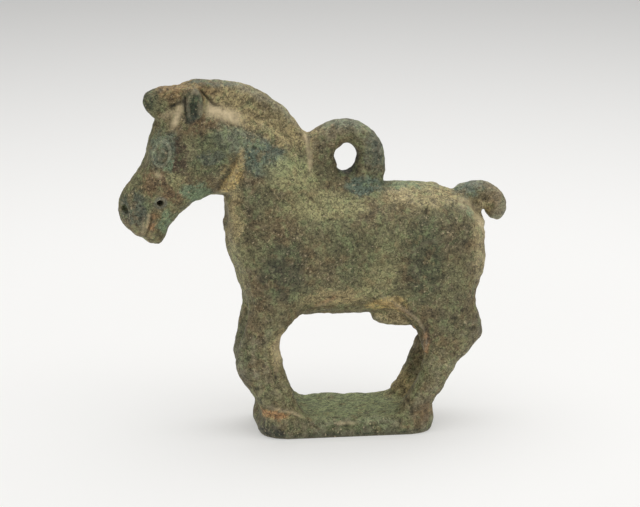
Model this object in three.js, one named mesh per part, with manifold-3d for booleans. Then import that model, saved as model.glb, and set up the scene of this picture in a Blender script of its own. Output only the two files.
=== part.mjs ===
// A small standing horse, cast in bronze in one piece with the plinth under its hooves and the
// suspension loop on its back. Sizes are in millimetres, +Z is up and the horse faces -X.
// The origin is the middle of the plinth's underside.

import * as THREE from 'three';
import { mergeVertices } from 'three/addons/utils/BufferGeometryUtils.js';
import Module from 'manifold-3d';

// From the muzzle to the end of the tail. Every size below is drawn for a horse 64 mm long.
const LENGTH = 64;
const DRAWN_LENGTH = 64;

const BARREL = 8.5;   // half the width of the trunk
const STANCE = 5.3;   // from the middle plane to the middle of a leg
const PLINTH = { long: 28.5, wide: 16.4, thick: 3.1, corner: 4.5, edge: 1.4 };

// The mane is bent round a centre in the side view, from one angle to another, in degrees.
const MANE = { x: -22.8, z: 40.8, inner: 13.6, outer: 18.5, half: 1.7, edge: 0.9, from: 12, to: 125 };
const FORELOCK = { dip: 0.5, dipFrom: 94, rise: 0.85, from: 104, to: 116 };
const LOOP = { x: -0.1, z: 44.8, outer: 7, half: 2.35, edge: 2, foot: 37 };
const LOOP_EYE = { x: 0.3, z: 45.5, wide: 2.0, tall: 2.45 };

// A limb is a chain of stations: x and z of its middle, y from the middle plane, and half its
// depth, as the side view shows it, and half its width.
const TRUNK = [
  { x: -11.6, z: 29.3, deep: 6.8, wide: 0.72 * BARREL },
  { x: -8.0, z: 29.8, deep: 10.2, wide: 0.9 * BARREL },
  { x: -2.0, z: 30.0, deep: 10.8, wide: BARREL },
  { x: 5.0, z: 30.1, deep: 10.85, wide: 0.97 * BARREL },
  { x: 10.5, z: 30.1, deep: 10.9, wide: 0.95 * BARREL },
  { x: 13.8, z: 30.5, deep: 9.5, wide: 0.86 * BARREL },
];
const NECK = [
  { x: -9.5, z: 34.3, deep: 10.1, wide: 6.6 },
  { x: -12.4, z: 41.0, deep: 7.2, wide: 5.9 },
  { x: -17.1, z: 45.4, deep: 7.0, wide: 5.0 },
  { x: -21.0, z: 48.4, deep: 6.4, wide: 4.4 },
  { x: -25.2, z: 49.8, deep: 5.2, wide: 4.2 },
];
const HEAD = [
  { x: -26.7, z: 50.0, deep: 4.7, wide: 4.0 },
  { x: -25.8, z: 46.8, deep: 6.4, wide: 4.5 },
  { x: -26.9, z: 44.3, deep: 6.1, wide: 4.6 },
  { x: -29.3, z: 41.7, deep: 5.2, wide: 4.0 },
  { x: -31.1, z: 39.8, deep: 4.9, wide: 3.8 },
  { x: -32.6, z: 38.3, deep: 4.5, wide: 3.8 },
];
const MUZZLE = [
  { x: -33.2, z: 36.9, deep: 3.1, wide: 3.6 },
  { x: -32.1, z: 35.6, deep: 3.0, wide: 3.2 },
  { x: -31.4, z: 34.4, deep: 2.4, wide: 2.8 },
];
const BROW = [
  { x: -27.0, y: 2.4, z: 53.0, deep: 1.6, wide: 1.5 },
  { x: -29.2, y: 2.6, z: 48.8, deep: 2.0, wide: 1.7 },
  { x: -30.7, y: 2.4, z: 45.2, deep: 2.0, wide: 1.5 },
];
const EAR = [
  { x: -25.6, y: 3.1, z: 52.8, deep: 1.7, wide: 1.4 },
  { x: -25.4, y: 2.8, z: 55.6, deep: 1.7, wide: 1.3 },
  { x: -25.3, y: 2.4, z: 57.3, deep: 1.4, wide: 1.0 },
];
// The edge on each side where the neck turns to its broad front.
const THROAT = [
  { x: -17.6, y: 4.0, z: 47.4, deep: 1.2, wide: 0.9 },
  { x: -18.5, y: 3.9, z: 43.6, deep: 1.4, wide: 1.1 },
  { x: -18.3, y: 2.6, z: 39.8, deep: 1.1, wide: 1.2 },
  { x: -18.2, y: 3.0, z: 35.5, deep: 1.6, wide: 1.3 },
  { x: -16.5, y: 3.9, z: 31.0, deep: 1.8, wide: 1.4 },
];
const TAIL = [
  { x: 17.6, z: 36.3, deep: 2.5, wide: 2.6 },
  { x: 20.4, z: 38.1, deep: 2.3, wide: 2.1 },
  { x: 23.1, z: 38.2, deep: 2.3, wide: 1.9 },
  { x: 24.9, z: 37.0, deep: 2.1, wide: 1.9 },
  { x: 25.2, z: 36.0, deep: 1.85, wide: 1.8 },
];
const SHEATH = [
  { x: 6.8, z: 18.5, deep: 1.7, wide: 1.8 },
  { x: 9.5, z: 18.1, deep: 1.7, wide: 2.0 },
  { x: 12.4, z: 17.8, deep: 1.5, wide: 1.8 },
];
// The fold of skin that runs from the flank down the front of each hind leg.
const FLANK = [
  { x: 5.8, y: 6.2, z: 23.6, deep: 0.9, wide: 0.9 },
  { x: 8.8, y: 5.2, z: 21.0, deep: 0.9, wide: 0.9 },
  { x: 11.7, y: 5.9, z: 18.2, deep: 0.9, wide: 0.9 },
  { x: 12.9, y: 6.1, z: 14.6, deep: 0.8, wide: 0.9 },
];
const FORELEG = [
  { x: -11.3, y: 3.7, z: 27.5, deep: 5.6, wide: 4.2 },
  { x: -12.2, y: 4.5, z: 21.8, deep: 4.0, wide: 3.4 },
  { x: -13.7, y: STANCE, z: 17.6, deep: 2.8, wide: 2.8 },
  { x: -14.2, y: STANCE, z: 14.4, deep: 2.8, wide: 2.7 },
  { x: -14.1, y: STANCE, z: 11.4, deep: 3.4, wide: 2.9 },
  { x: -12.6, y: STANCE, z: 8.0, deep: 3.1, wide: 2.6 },
  { x: -11.4, y: STANCE, z: 5.0, deep: 3.0, wide: 2.7 },
  { x: -10.7, y: STANCE, z: 3.4, deep: 3.2, wide: 2.8 },
];
const HINDLEG = [
  { x: 15.1, y: 3.7, z: 30.5, deep: 7.9, wide: 4.7 },
  { x: 15.1, y: 4.3, z: 24.5, deep: 6.8, wide: 4.2 },
  { x: 15.8, y: 4.8, z: 20.6, deep: 5.2, wide: 3.6 },
  { x: 17.6, y: STANCE, z: 17.1, deep: 4.5, wide: 2.9 },
  { x: 16.1, y: STANCE, z: 13.8, deep: 3.1, wide: 2.7 },
  { x: 14.8, y: STANCE, z: 10.4, deep: 2.5, wide: 2.5 },
  { x: 13.4, y: STANCE, z: 7.6, deep: 2.25, wide: 2.5 },
  { x: 11.9, y: STANCE, z: 4.8, deep: 2.3, wide: 2.7 },
  { x: 11.2, y: STANCE, z: 3.3, deep: 2.7, wide: 2.8 },
];

// The radius of the fillet where each form runs into the rest of the casting.
const FILLET = {
  neck: 3, shoulder: 3, thigh: 2.5, flank: 1.2, throat: 1, head: 0.6, muzzle: 1, brow: 1.5,
  mane: 1.6, ear: 0.8, tail: 1, sheath: 1.5, loop: 2, plinth: 2,
};

// Carving on both sides of the head and the tail, as eggs at a place in the side view. Sink is how
// far an egg's middle lies below the skin, so a raised eye has less than its half width.
const EYE = { x: -30.4, z: 48.0, sink: 0.15, half: [1.0, 0.55, 1.6], turn: 12 };
const HOLLOWS = {
  pupil: { x: -30.4, z: 48.0, sink: -0.5, half: [0.45, 0.4, 0.85], turn: 12 },
  nostril: { x: -36.3, z: 38.5, sink: 0.1, half: [0.55, 0.75, 0.8], turn: -20 },
  mouth: { x: -33.0, z: 35.8, sink: -0.15, half: [0.35, 0.6, 2.5], turn: 20 },
  ear: { x: -25.1, z: 56.4, sink: -0.1, half: [0.4, 0.75, 1.9], turn: 4 },
  tail: { x: 24.3, z: 36.6, sink: -0.2, half: [0.9, 0.5, 1.2], turn: -30 },
};
const BIT_HOLE = { x: -30.5, z: 39.6, radius: 0.5 };

// How far the horse reaches, which is the room that its skin is meshed in.
const REACH = { muzzle: -37.8, tail: 27.4, top: 60 };
// How closely the skin is meshed, finer at the head, the tail, the loop and the plinth, and how many
// triangles it keeps.
const FINE = 0.85;
const COARSE = 1.25;
const TRIANGLES = 8200;
const isFineX = (x) => x < -21 || x > 17 || (x > -5 && x < 7);
const isFineZ = (z) => z > 32 || z < 6;
// The farthest that a point moves in one step towards the surface, and again after thinning.
const STRIDE = 0.4;
const SLACK = 0.15;
// The cosine of the largest angle that a face may turn through when an edge is closed up.
const LARGEST_TURN = 0.8;

// Two distances joined with a fillet of about the given radius.
function join(a, b, fillet) {
  const near = Math.max(fillet - Math.abs(a - b), 0);
  return Math.min(a, b) - (near * near) / (4 * fillet);
}

// Distance to a rounded box from the overshoots past its faces.
function rounded(edge, pastX, pastY, pastZ = -Infinity) {
  const [x, y, z] = [pastX + edge, pastY + edge, pastZ + edge];
  const outside = Math.sqrt(Math.max(x, 0) ** 2 + Math.max(y, 0) ** 2 + Math.max(z, 0) ** 2);
  return outside + Math.min(Math.max(x, y, z), 0) - edge;
}

// Distance to a limb: the nearest of the ellipses swept along its chain of stations.
function limb(stations, stepsPerSpan = 4) {
  const through = (points) => new THREE.CatmullRomCurve3(points, false, 'centripetal');
  const path = through(stations.map((s) => new THREE.Vector3(s.x, s.y ?? 0, s.z)));
  const girth = through(stations.map((s) => new THREE.Vector3(s.deep, s.wide, 0)));
  const steps = stepsPerSpan * (stations.length - 1);
  const rings = Array.from({ length: steps + 1 }, (_, i) => {
    const at = path.getPoint(i / steps);
    const size = girth.getPoint(i / steps);
    return { x: at.x, y: at.y, z: at.z, deep: size.x, wide: size.y };
  });
  return (x, y, z) => {
    let nearest = Infinity;
    for (let i = 1; i < rings.length; i++) {
      const a = rings[i - 1];
      const b = rings[i];
      const alongX = b.x - a.x;
      const alongZ = b.z - a.z;
      const share = ((x - a.x) * alongX + (z - a.z) * alongZ) / (alongX * alongX + alongZ * alongZ);
      const t = THREE.MathUtils.clamp(share, 0, 1);
      const deep = a.deep + (b.deep - a.deep) * t;
      const wide = a.wide + (b.wide - a.wide) * t;
      const inPlane = ((x - a.x - alongX * t) ** 2 + (z - a.z - alongZ * t) ** 2) / deep ** 2;
      const sideways = (y - a.y - (b.y - a.y) * t) ** 2 / wide ** 2;
      const level = Math.sqrt(inPlane + sideways);
      const slope = Math.sqrt(inPlane / deep ** 2 + sideways / wide ** 2) + 1e-9;
      nearest = Math.min(nearest, (level * (level - 1)) / slope);
    }
    return nearest;
  };
}

// The clipped mane: an upright plate bent round the crest of the neck, from the withers over the
// poll to the forelock, which stands clear of the forehead.
function mane(x, y, z) {
  const angle = THREE.MathUtils.radToDeg(Math.atan2(z - MANE.z, x - MANE.x));
  const pastEnd = Math.max(MANE.from - angle, angle - MANE.to);
  const dip = FORELOCK.dip * THREE.MathUtils.smoothstep(angle, FORELOCK.dipFrom, FORELOCK.from);
  const rise = FORELOCK.rise * THREE.MathUtils.smoothstep(angle, FORELOCK.from, FORELOCK.to);
  const radius = Math.hypot(x - MANE.x, z - MANE.z);
  return rounded(MANE.edge,
    Math.max(radius - MANE.outer + dip - rise, MANE.inner - radius),
    THREE.MathUtils.degToRad(pastEnd) * (MANE.inner + MANE.outer) / 2,
    Math.abs(y) - MANE.half);
}

// The suspension loop: a thick arch with an oval eye, its edges worn almost round.
function loop(x, y, z) {
  const outline = Math.hypot(x - LOOP.x, Math.max(z - LOOP.z, 0)) - LOOP.outer;
  const inEye = Math.hypot((x - LOOP_EYE.x) / LOOP_EYE.wide, (z - LOOP_EYE.z) / LOOP_EYE.tall);
  const pastSide = Math.max(outline, (1 - inEye) * LOOP_EYE.wide);
  return rounded(LOOP.edge, pastSide, LOOP.foot - z, Math.abs(y) - LOOP.half);
}

// The plinth, which reaches a little below the table so that its underside can be cut flat.
function plinth(x, y, z) {
  const pastSide = rounded(PLINTH.corner, Math.abs(x) - PLINTH.long / 2, Math.abs(y) - PLINTH.wide / 2);
  return rounded(PLINTH.edge, pastSide, z - PLINTH.thick, -z - PLINTH.edge / 2);
}

// Each form with its fillet, in the order in which they are joined to the trunk.
const trunk = limb(TRUNK);
const FORMS = [
  [limb(NECK), FILLET.neck],
  [limb(HINDLEG), FILLET.thigh],
  [limb(FORELEG), FILLET.shoulder],
  [limb(HEAD), FILLET.head],
  [limb(MUZZLE), FILLET.muzzle],
  [limb(THROAT), FILLET.throat],
  [limb(BROW), FILLET.brow],
  [mane, FILLET.mane],
  [limb(EAR), FILLET.ear],
  [limb(TAIL), FILLET.tail],
  [limb(SHEATH), FILLET.sheath],
  [limb(FLANK), FILLET.flank],
  [loop, FILLET.loop],
  [plinth, FILLET.plinth],
];

// Distance to the whole casting. Left and right are alike, so it works on one side's y.
function casting(x, y, z) {
  const side = Math.abs(y);
  return FORMS.reduce((d, [form, fillet]) => join(d, form(x, side, z), fillet), trunk(x, side, z));
}

// Grid lines from one end to the other, fine or coarse as each place asks.
function gridLines(from, to, isFine) {
  const lines = [from];
  while (lines.at(-1) < to) lines.push(lines.at(-1) + (isFine(lines.at(-1)) ? FINE : COARSE));
  return lines;
}

// Moves a point onto the zero level of a field along the field's slope, but keeps it between two
// corners so that neighbouring points stay apart.
function settle(field, point, low, high) {
  const h = 0.02;
  const flattest = 0.05;
  let p = point;
  for (let tries = 0; tries < 4; tries++) {
    const slope = [
      (field(p[0] + h, p[1], p[2]) - field(p[0] - h, p[1], p[2])) / (2 * h),
      (field(p[0], p[1] + h, p[2]) - field(p[0], p[1] - h, p[2])) / (2 * h),
      (field(p[0], p[1], p[2] + h) - field(p[0], p[1], p[2] - h)) / (2 * h),
    ];
    const steep = Math.max(slope[0] ** 2 + slope[1] ** 2 + slope[2] ** 2, flattest);
    const move = THREE.MathUtils.clamp(field(...p) / steep, -STRIDE, STRIDE);
    p = p.map((c, axis) => THREE.MathUtils.clamp(c - move * slope[axis], low[axis], high[axis]));
  }
  return p;
}

// Four neighbouring grid points that lie crosswise inside and outside would give an edge shared by
// four faces, so the one nearest to the surface changes sides.
function uncross(value, nx, ny, nz) {
  const step = [1, nx, nx * ny];
  const last = nx * ny * nz - step[0] - step[1] - step[2];
  for (let at = 0; at < last; at++)
    for (const [a, b] of [[0, 1], [1, 2], [2, 0]]) {
      const four = [at, at + step[a], at + step[a] + step[b], at + step[b]];
      const inside = four.map((n) => value[n] < 0);
      if (inside[0] === inside[1] || inside[0] !== inside[2] || inside[1] !== inside[3]) continue;
      const nearest = four.reduce((m, n) => (Math.abs(value[n]) < Math.abs(value[m]) ? n : m));
      value[nearest] = value[nearest] < 0 ? 1e-3 : -1e-3;
    }
}

// Wraps a skin round the zero level of a field: a point in each grid cell that the surface
// crosses, and a quad round each grid edge that it crosses.
function skin(field, xs, ys, zs) {
  const [nx, ny, nz] = [xs.length, ys.length, zs.length];
  const at = (i, j, k) => (k * ny + j) * nx + i;
  const value = new Float64Array(nx * ny * nz);
  for (let k = 0; k < nz; k++)
    for (let j = 0; j < ny; j++)
      for (let i = 0; i < nx; i++) value[at(i, j, k)] = field(xs[i], ys[j], zs[k]);
  uncross(value, nx, ny, nz);

  const corners = [0, 1, 2, 3, 4, 5, 6, 7];
  const edges = corners.flatMap((m) => [1, 2, 4].filter((bit) => !(m & bit)).map((bit) => [m, m | bit]));
  const axes = [0, 1, 2];
  const points = [];
  const pointIn = new Map();
  for (let k = 0; k < nz - 1; k++)
    for (let j = 0; j < ny - 1; j++)
      for (let i = 0; i < nx - 1; i++) {
        const corner = corners.map((c) => [xs[i + (c & 1)], ys[j + ((c >> 1) & 1)], zs[k + (c >> 2)]]);
        const level = corners.map((c) => value[at(i + (c & 1), j + ((c >> 1) & 1), k + (c >> 2))]);
        const crossings = edges.filter(([m, n]) => level[m] < 0 !== level[n] < 0).map(([m, n]) => {
          const t = level[m] / (level[m] - level[n]);
          return corner[m].map((c, axis) => c + (corner[n][axis] - c) * t);
        });
        if (!crossings.length) continue;
        const mean = axes.map((axis) => crossings.reduce((sum, c) => sum + c[axis], 0) / crossings.length);
        const [low, high] = [0.1, 0.9].map((t) => axes.map((axis) =>
          corner[0][axis] + (corner[7][axis] - corner[0][axis]) * t));
        pointIn.set(at(i, j, k), points.length);
        points.push(settle(field, mean, low, high));
      }

  const triangles = [];
  const apart = (a, b) => Math.hypot(...points[a].map((c, axis) => c - points[b][axis]));
  const addQuad = (a, b, c, d) => {
    if (apart(a, c) < apart(b, d)) triangles.push([a, b, c], [a, c, d]);
    else triangles.push([a, b, d], [b, c, d]);
  };
  for (let k = 1; k < nz - 1; k++)
    for (let j = 1; j < ny - 1; j++)
      for (let i = 1; i < nx - 1; i++) {
        const inside = value[at(i, j, k)] < 0;
        const rounds = [
          [value[at(i + 1, j, k)], [[0, 0, 0], [0, -1, 0], [0, -1, -1], [0, 0, -1]]],
          [value[at(i, j + 1, k)], [[0, 0, 0], [0, 0, -1], [-1, 0, -1], [-1, 0, 0]]],
          [value[at(i, j, k + 1)], [[0, 0, 0], [-1, 0, 0], [-1, -1, 0], [0, -1, 0]]],
        ];
        for (const [next, cells] of rounds) {
          if (next < 0 === inside) continue;
          const quad = cells.map(([di, dj, dk]) => pointIn.get(at(i + di, j + dj, k + dk)));
          addQuad(...(inside ? quad : quad.reverse()));
        }
      }
  return { points, triangles };
}

const minus = (a, b) => [a[0] - b[0], a[1] - b[1], a[2] - b[2]];
const dot = (a, b) => a[0] * b[0] + a[1] * b[1] + a[2] * b[2];
const cross = (a, b) => [a[1] * b[2] - a[2] * b[1], a[2] * b[0] - a[0] * b[2], a[0] * b[1] - a[1] * b[0]];

// Thins a closed skin to a number of triangles. Edges are closed up where that moves the skin
// least, so flat stretches end with large triangles and tight curves keep small ones.
function thin({ points, triangles }, count) {
  const normalOf = (t, swap = new Map()) => {
    const [a, b, c] = t.map((v) => swap.get(v) ?? points[v]);
    return cross(minus(b, a), minus(c, a));
  };
  const fans = points.map(() => new Set());
  const planes = points.map(() => []);
  for (const t of triangles) {
    const normal = normalOf(t);
    const size = Math.sqrt(dot(normal, normal)) || 1;
    const unit = normal.map((c) => c / size);
    for (const v of t) {
      fans[v].add(t);
      planes[v].push([unit, dot(unit, points[t[0]]), size]);
    }
  }
  // How far a place lies from the planes that the skin had round two points.
  const strain = (a, b, place) => [...planes[a], ...planes[b]].reduce(
    (sum, [normal, level, size]) => sum + size * (dot(normal, place) - level) ** 2, 0);
  const ringOf = (v) => new Set([...fans[v]].flat().filter((w) => w !== v));
  let left = triangles.length;
  while (left > count) {
    const edges = [];
    fans.forEach((fan, a) => ringOf(a).forEach((b) => {
      if (a > b) return;
      const middle = points[a].map((c, axis) => (c + points[b][axis]) / 2);
      const reach = minus(points[a], points[b]);
      const [cost, place] = [middle, points[a], points[b]].map((q) => [strain(a, b, q), q])
        .reduce((best, next) => (next[0] < best[0] ? next : best));
      edges.push([cost + 1e-4 * dot(reach, reach) ** 2, a, b, place]);
    }));
    edges.sort((p, q) => p[0] - q[0]);
    const touched = new Set();
    for (const [, a, b, place] of edges.slice(0, edges.length / 4)) {
      const [ringA, ringB] = [ringOf(a), ringOf(b)];
      const around = [a, b, ...ringA, ...ringB];
      if (around.some((v) => touched.has(v))) continue;
      if ([...ringA].filter((v) => ringB.has(v)).length !== 2) continue;
      const swap = new Map([[a, place], [b, place]]);
      const kept = [...fans[a], ...fans[b]].filter((t) => !(t.includes(a) && t.includes(b)));
      const turnsOver = kept.some((t) => {
        const [before, after] = [normalOf(t), normalOf(t, swap)];
        const sizes = Math.sqrt(dot(before, before) * dot(after, after));
        return dot(before, after) < LARGEST_TURN * sizes + 1e-9;
      });
      if (turnsOver) continue;
      for (const t of [...fans[a]].filter((s) => s.includes(b))) t.forEach((v) => fans[v].delete(t));
      for (const t of fans[b]) {
        t[t.indexOf(b)] = a;
        fans[a].add(t);
      }
      fans[b].clear();
      points[a] = place;
      planes[a].push(...planes[b]);
      around.forEach((v) => touched.add(v));
      left -= 2;
      if (left <= count) break;
    }
    if (!touched.size) break;
  }
  return { points, triangles: [...new Set(fans.flatMap((fan) => [...fan]))] };
}

const wasm = await Module();
wasm.setup();

// A closed geometry as a solid that can be joined and cut.
function solid(geometry) {
  const bare = geometry.clone();
  bare.deleteAttribute('normal');
  bare.deleteAttribute('uv');
  const merged = mergeVertices(bare, 1e-4);
  return new wasm.Manifold(new wasm.Mesh({
    numProp: 3,
    vertProperties: new Float32Array(merged.attributes.position.array),
    triVerts: new Uint32Array(merged.index.array),
  }));
}

// An egg on the skin of one side, at a mark's place in the side view.
function eggOn(mark, side) {
  let y = 0;
  while (casting(mark.x, y, mark.z) < 0) y += 0.02;
  const ball = new THREE.SphereGeometry(1, 12, 8).scale(...mark.half);
  ball.rotateY(THREE.MathUtils.degToRad(mark.turn));
  return solid(ball.translate(mark.x, side * (y - mark.sink), mark.z));
}

// Adds the eyes, then cuts the hollows, the hole for the bit and everything below the table.
function carve(body) {
  const tools = [-1, 1].flatMap((side) => Object.values(HOLLOWS).map((mark) => eggOn(mark, side)));
  const bit = new THREE.CylinderGeometry(BIT_HOLE.radius, BIT_HOLE.radius, 2 * BARREL, 10);
  tools.push(solid(bit.translate(BIT_HOLE.x, 0, BIT_HOLE.z)));
  const table = new THREE.BoxGeometry(2 * LENGTH, LENGTH, 2 * PLINTH.thick);
  tools.push(solid(table.translate(0, 0, -PLINTH.thick)));
  const withEyes = body.add(eggOn(EYE, -1)).add(eggOn(EYE, 1));
  return tools.reduce((left, tool) => left.subtract(tool), withEyes);
}

function castHorse() {
  const room = 2 * FINE;
  const xs = gridLines(REACH.muzzle - room, REACH.tail + room, isFineX);
  const half = gridLines(0, BARREL + room, () => true);
  const ys = [...half.slice(1).map((y) => -y).reverse(), ...half];
  const zs = gridLines(-PLINTH.edge - room, REACH.top + room, isFineZ);
  const { points, triangles } = thin(skin(casting, xs, ys, zs), TRIANGLES);
  const settled = points.map((p) => settle(casting, p, p.map((c) => c - SLACK), p.map((c) => c + SLACK)));
  const body = new THREE.BufferGeometry()
    .setAttribute('position', new THREE.Float32BufferAttribute(settled.flat(), 3))
    .setIndex(triangles.flat());
  const carved = carve(solid(body)).getMesh();
  const geometry = new THREE.BufferGeometry()
    .setAttribute('position', new THREE.BufferAttribute(carved.vertProperties, 3))
    .setIndex(new THREE.BufferAttribute(carved.triVerts, 1));
  geometry.computeVertexNormals();
  return geometry;
}

const patina = new THREE.MeshStandardMaterial({ color: 0x6a6b4e, roughness: 0.8, metalness: 0.25 });
const horse = new THREE.Mesh(castHorse(), patina);
horse.name = 'horse_on_plinth';
horse.scale.setScalar(LENGTH / DRAWN_LENGTH);

const figurine = new THREE.Group();
figurine.add(horse);

export default figurine;
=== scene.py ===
import math

import bmesh
import bpy
import numpy as np
from mathutils import Matrix, Vector, noise


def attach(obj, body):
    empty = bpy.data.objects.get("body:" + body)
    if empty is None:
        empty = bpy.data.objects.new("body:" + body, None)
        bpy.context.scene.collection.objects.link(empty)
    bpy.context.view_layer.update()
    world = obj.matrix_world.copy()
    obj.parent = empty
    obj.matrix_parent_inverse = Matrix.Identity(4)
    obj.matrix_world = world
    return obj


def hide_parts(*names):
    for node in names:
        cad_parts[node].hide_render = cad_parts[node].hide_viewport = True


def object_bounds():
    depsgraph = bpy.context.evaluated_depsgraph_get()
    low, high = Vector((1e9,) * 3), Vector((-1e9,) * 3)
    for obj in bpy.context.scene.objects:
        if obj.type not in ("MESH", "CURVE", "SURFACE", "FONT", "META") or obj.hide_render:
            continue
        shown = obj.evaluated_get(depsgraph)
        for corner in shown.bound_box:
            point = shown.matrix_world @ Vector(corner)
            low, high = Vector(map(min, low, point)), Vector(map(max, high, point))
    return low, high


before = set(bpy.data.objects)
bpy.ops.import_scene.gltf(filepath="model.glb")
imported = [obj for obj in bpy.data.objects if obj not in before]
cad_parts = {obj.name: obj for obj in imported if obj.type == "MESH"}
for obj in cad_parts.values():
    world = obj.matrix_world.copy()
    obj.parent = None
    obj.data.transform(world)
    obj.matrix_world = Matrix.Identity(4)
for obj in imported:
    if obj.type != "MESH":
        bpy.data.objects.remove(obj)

cadLow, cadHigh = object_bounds()
mm = 0.001


# The view comes first. Places are in millimetres, angles in degrees.

cameraStand = {
    "azimuth": -8.0,                   # round from the horse's left side, towards its head
    "elevation": 15.0,
    "aim": (-2.762, 7.724, 27.11),
    "distance": 900.0,
    "lens": 305.7,
}


def standCamera(stand):
    around, above = math.radians(stand["azimuth"]), math.radians(stand["elevation"])
    back = Vector((math.sin(around) * math.cos(above),
                   -math.cos(around) * math.cos(above),
                   math.sin(above)))
    camera = bpy.data.objects.new("camera", bpy.data.cameras.new("camera"))
    camera.data.lens = stand["lens"]
    camera.data.sensor_width = 36.0
    camera.data.clip_start = 0.01
    camera.data.clip_end = 20.0
    camera.location = (Vector(stand["aim"]) + back * stand["distance"]) * mm
    camera.rotation_euler = (-back).to_track_quat("-Z", "Y").to_euler()
    bpy.context.scene.collection.objects.link(camera)
    bpy.context.scene.camera = camera


standCamera(cameraStand)
print("camera in place")


# Points of a mesh as an array in millimetres, and back again.

def readPoints(mesh):
    points = np.empty(len(mesh.vertices) * 3)
    mesh.vertices.foreach_get("co", points)
    return points.reshape(-1, 3) / mm


def writePoints(mesh, points):
    mesh.vertices.foreach_set("co", (points * mm).ravel())
    mesh.update()


def readNormals(mesh):
    normals = np.empty(len(mesh.vertices) * 3)
    mesh.vertices.foreach_get("normal", normals)
    return normals.reshape(-1, 3)


def readEdges(mesh):
    edges = np.empty(len(mesh.edges) * 2, dtype=np.int64)
    mesh.edges.foreach_get("vertices", edges)
    return edges.reshape(-1, 2)


def keepValues(mesh, name, values):
    layer = mesh.attributes.new(name, "FLOAT", "POINT")
    layer.data.foreach_set("value", values.astype(np.float32))


def easeBetween(low, high, values):
    share = np.clip((values - low) / (high - low), 0.0, 1.0)
    return share * share * (3.0 - 2.0 * share)


# The cast skin: the solid's own shape with its facets smoothed away, meshed finer at the head.

castSkin = {
    "pointSpacing": 0.36,
    "smoothRounds": 14,
    "smoothSteps": (0.5, -0.52),       # in and out again, so that the form keeps its size
    "fineAhead": -21.8,
    "fineAbove": 31.0,
    "fineRounds": 3,
}


def copyNode(nodeName, name):
    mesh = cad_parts[nodeName].data.copy()
    mesh.materials.clear()
    shell = bmesh.new()
    shell.from_mesh(mesh)
    bmesh.ops.remove_doubles(shell, verts=shell.verts, dist=1e-6)
    shell.to_mesh(mesh)
    shell.free()
    piece = bpy.data.objects.new(name, mesh)
    bpy.context.scene.collection.objects.link(piece)
    return piece


def applyModifiers(piece):
    seen = piece.evaluated_get(bpy.context.evaluated_depsgraph_get())
    mesh = bpy.data.meshes.new_from_object(seen)
    piece.modifiers.clear()
    piece.data = mesh


def remeshEvenly(piece, spacing):
    remesh = piece.modifiers.new("even skin", "REMESH")
    remesh.mode = "VOXEL"
    remesh.voxel_size = spacing * mm
    applyModifiers(piece)


def meshHeadFiner(mesh, plan):
    shell = bmesh.new()
    shell.from_mesh(mesh)
    head = {v for v in shell.verts
            if v.co.x < plan["fineAhead"] * mm and v.co.z > plan["fineAbove"] * mm}
    headEdges = [e for e in shell.edges if e.verts[0] in head and e.verts[1] in head]
    bmesh.ops.subdivide_edges(shell, edges=headEdges, cuts=1, use_grid_fill=True)
    shell.to_mesh(mesh)
    shell.free()


def neighbourMean(points, edges, counts):
    total = np.empty_like(points)
    for axis in range(points.shape[1]):
        total[:, axis] = (np.bincount(edges[:, 0], points[edges[:, 1], axis], len(points))
                          + np.bincount(edges[:, 1], points[edges[:, 0], axis], len(points)))
    return total / counts[:, None]


def smoothPoints(points, edges, rounds, steps):
    counts = np.bincount(edges.ravel(), minlength=len(points))
    for _ in range(rounds):
        for step in steps:
            points = points + step * (neighbourMean(points, edges, counts) - points)
    return points


def smoothMesh(mesh, rounds):
    writePoints(mesh, smoothPoints(readPoints(mesh), readEdges(mesh), rounds, castSkin["smoothSteps"]))


horse = copyNode("horse_on_plinth", "cast_horse")
remeshEvenly(horse, castSkin["pointSpacing"])
smoothMesh(horse.data, castSkin["smoothRounds"])
meshHeadFiner(horse.data, castSkin)
smoothMesh(horse.data, castSkin["fineRounds"])
print("cast skin:", len(horse.data.vertices), "points")


# Modelling on the skin. Lines and spots are drawn in the side view as x, z and work on both sides
# of the horse. Each ridge or groove has a line, half its width and its height.

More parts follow.
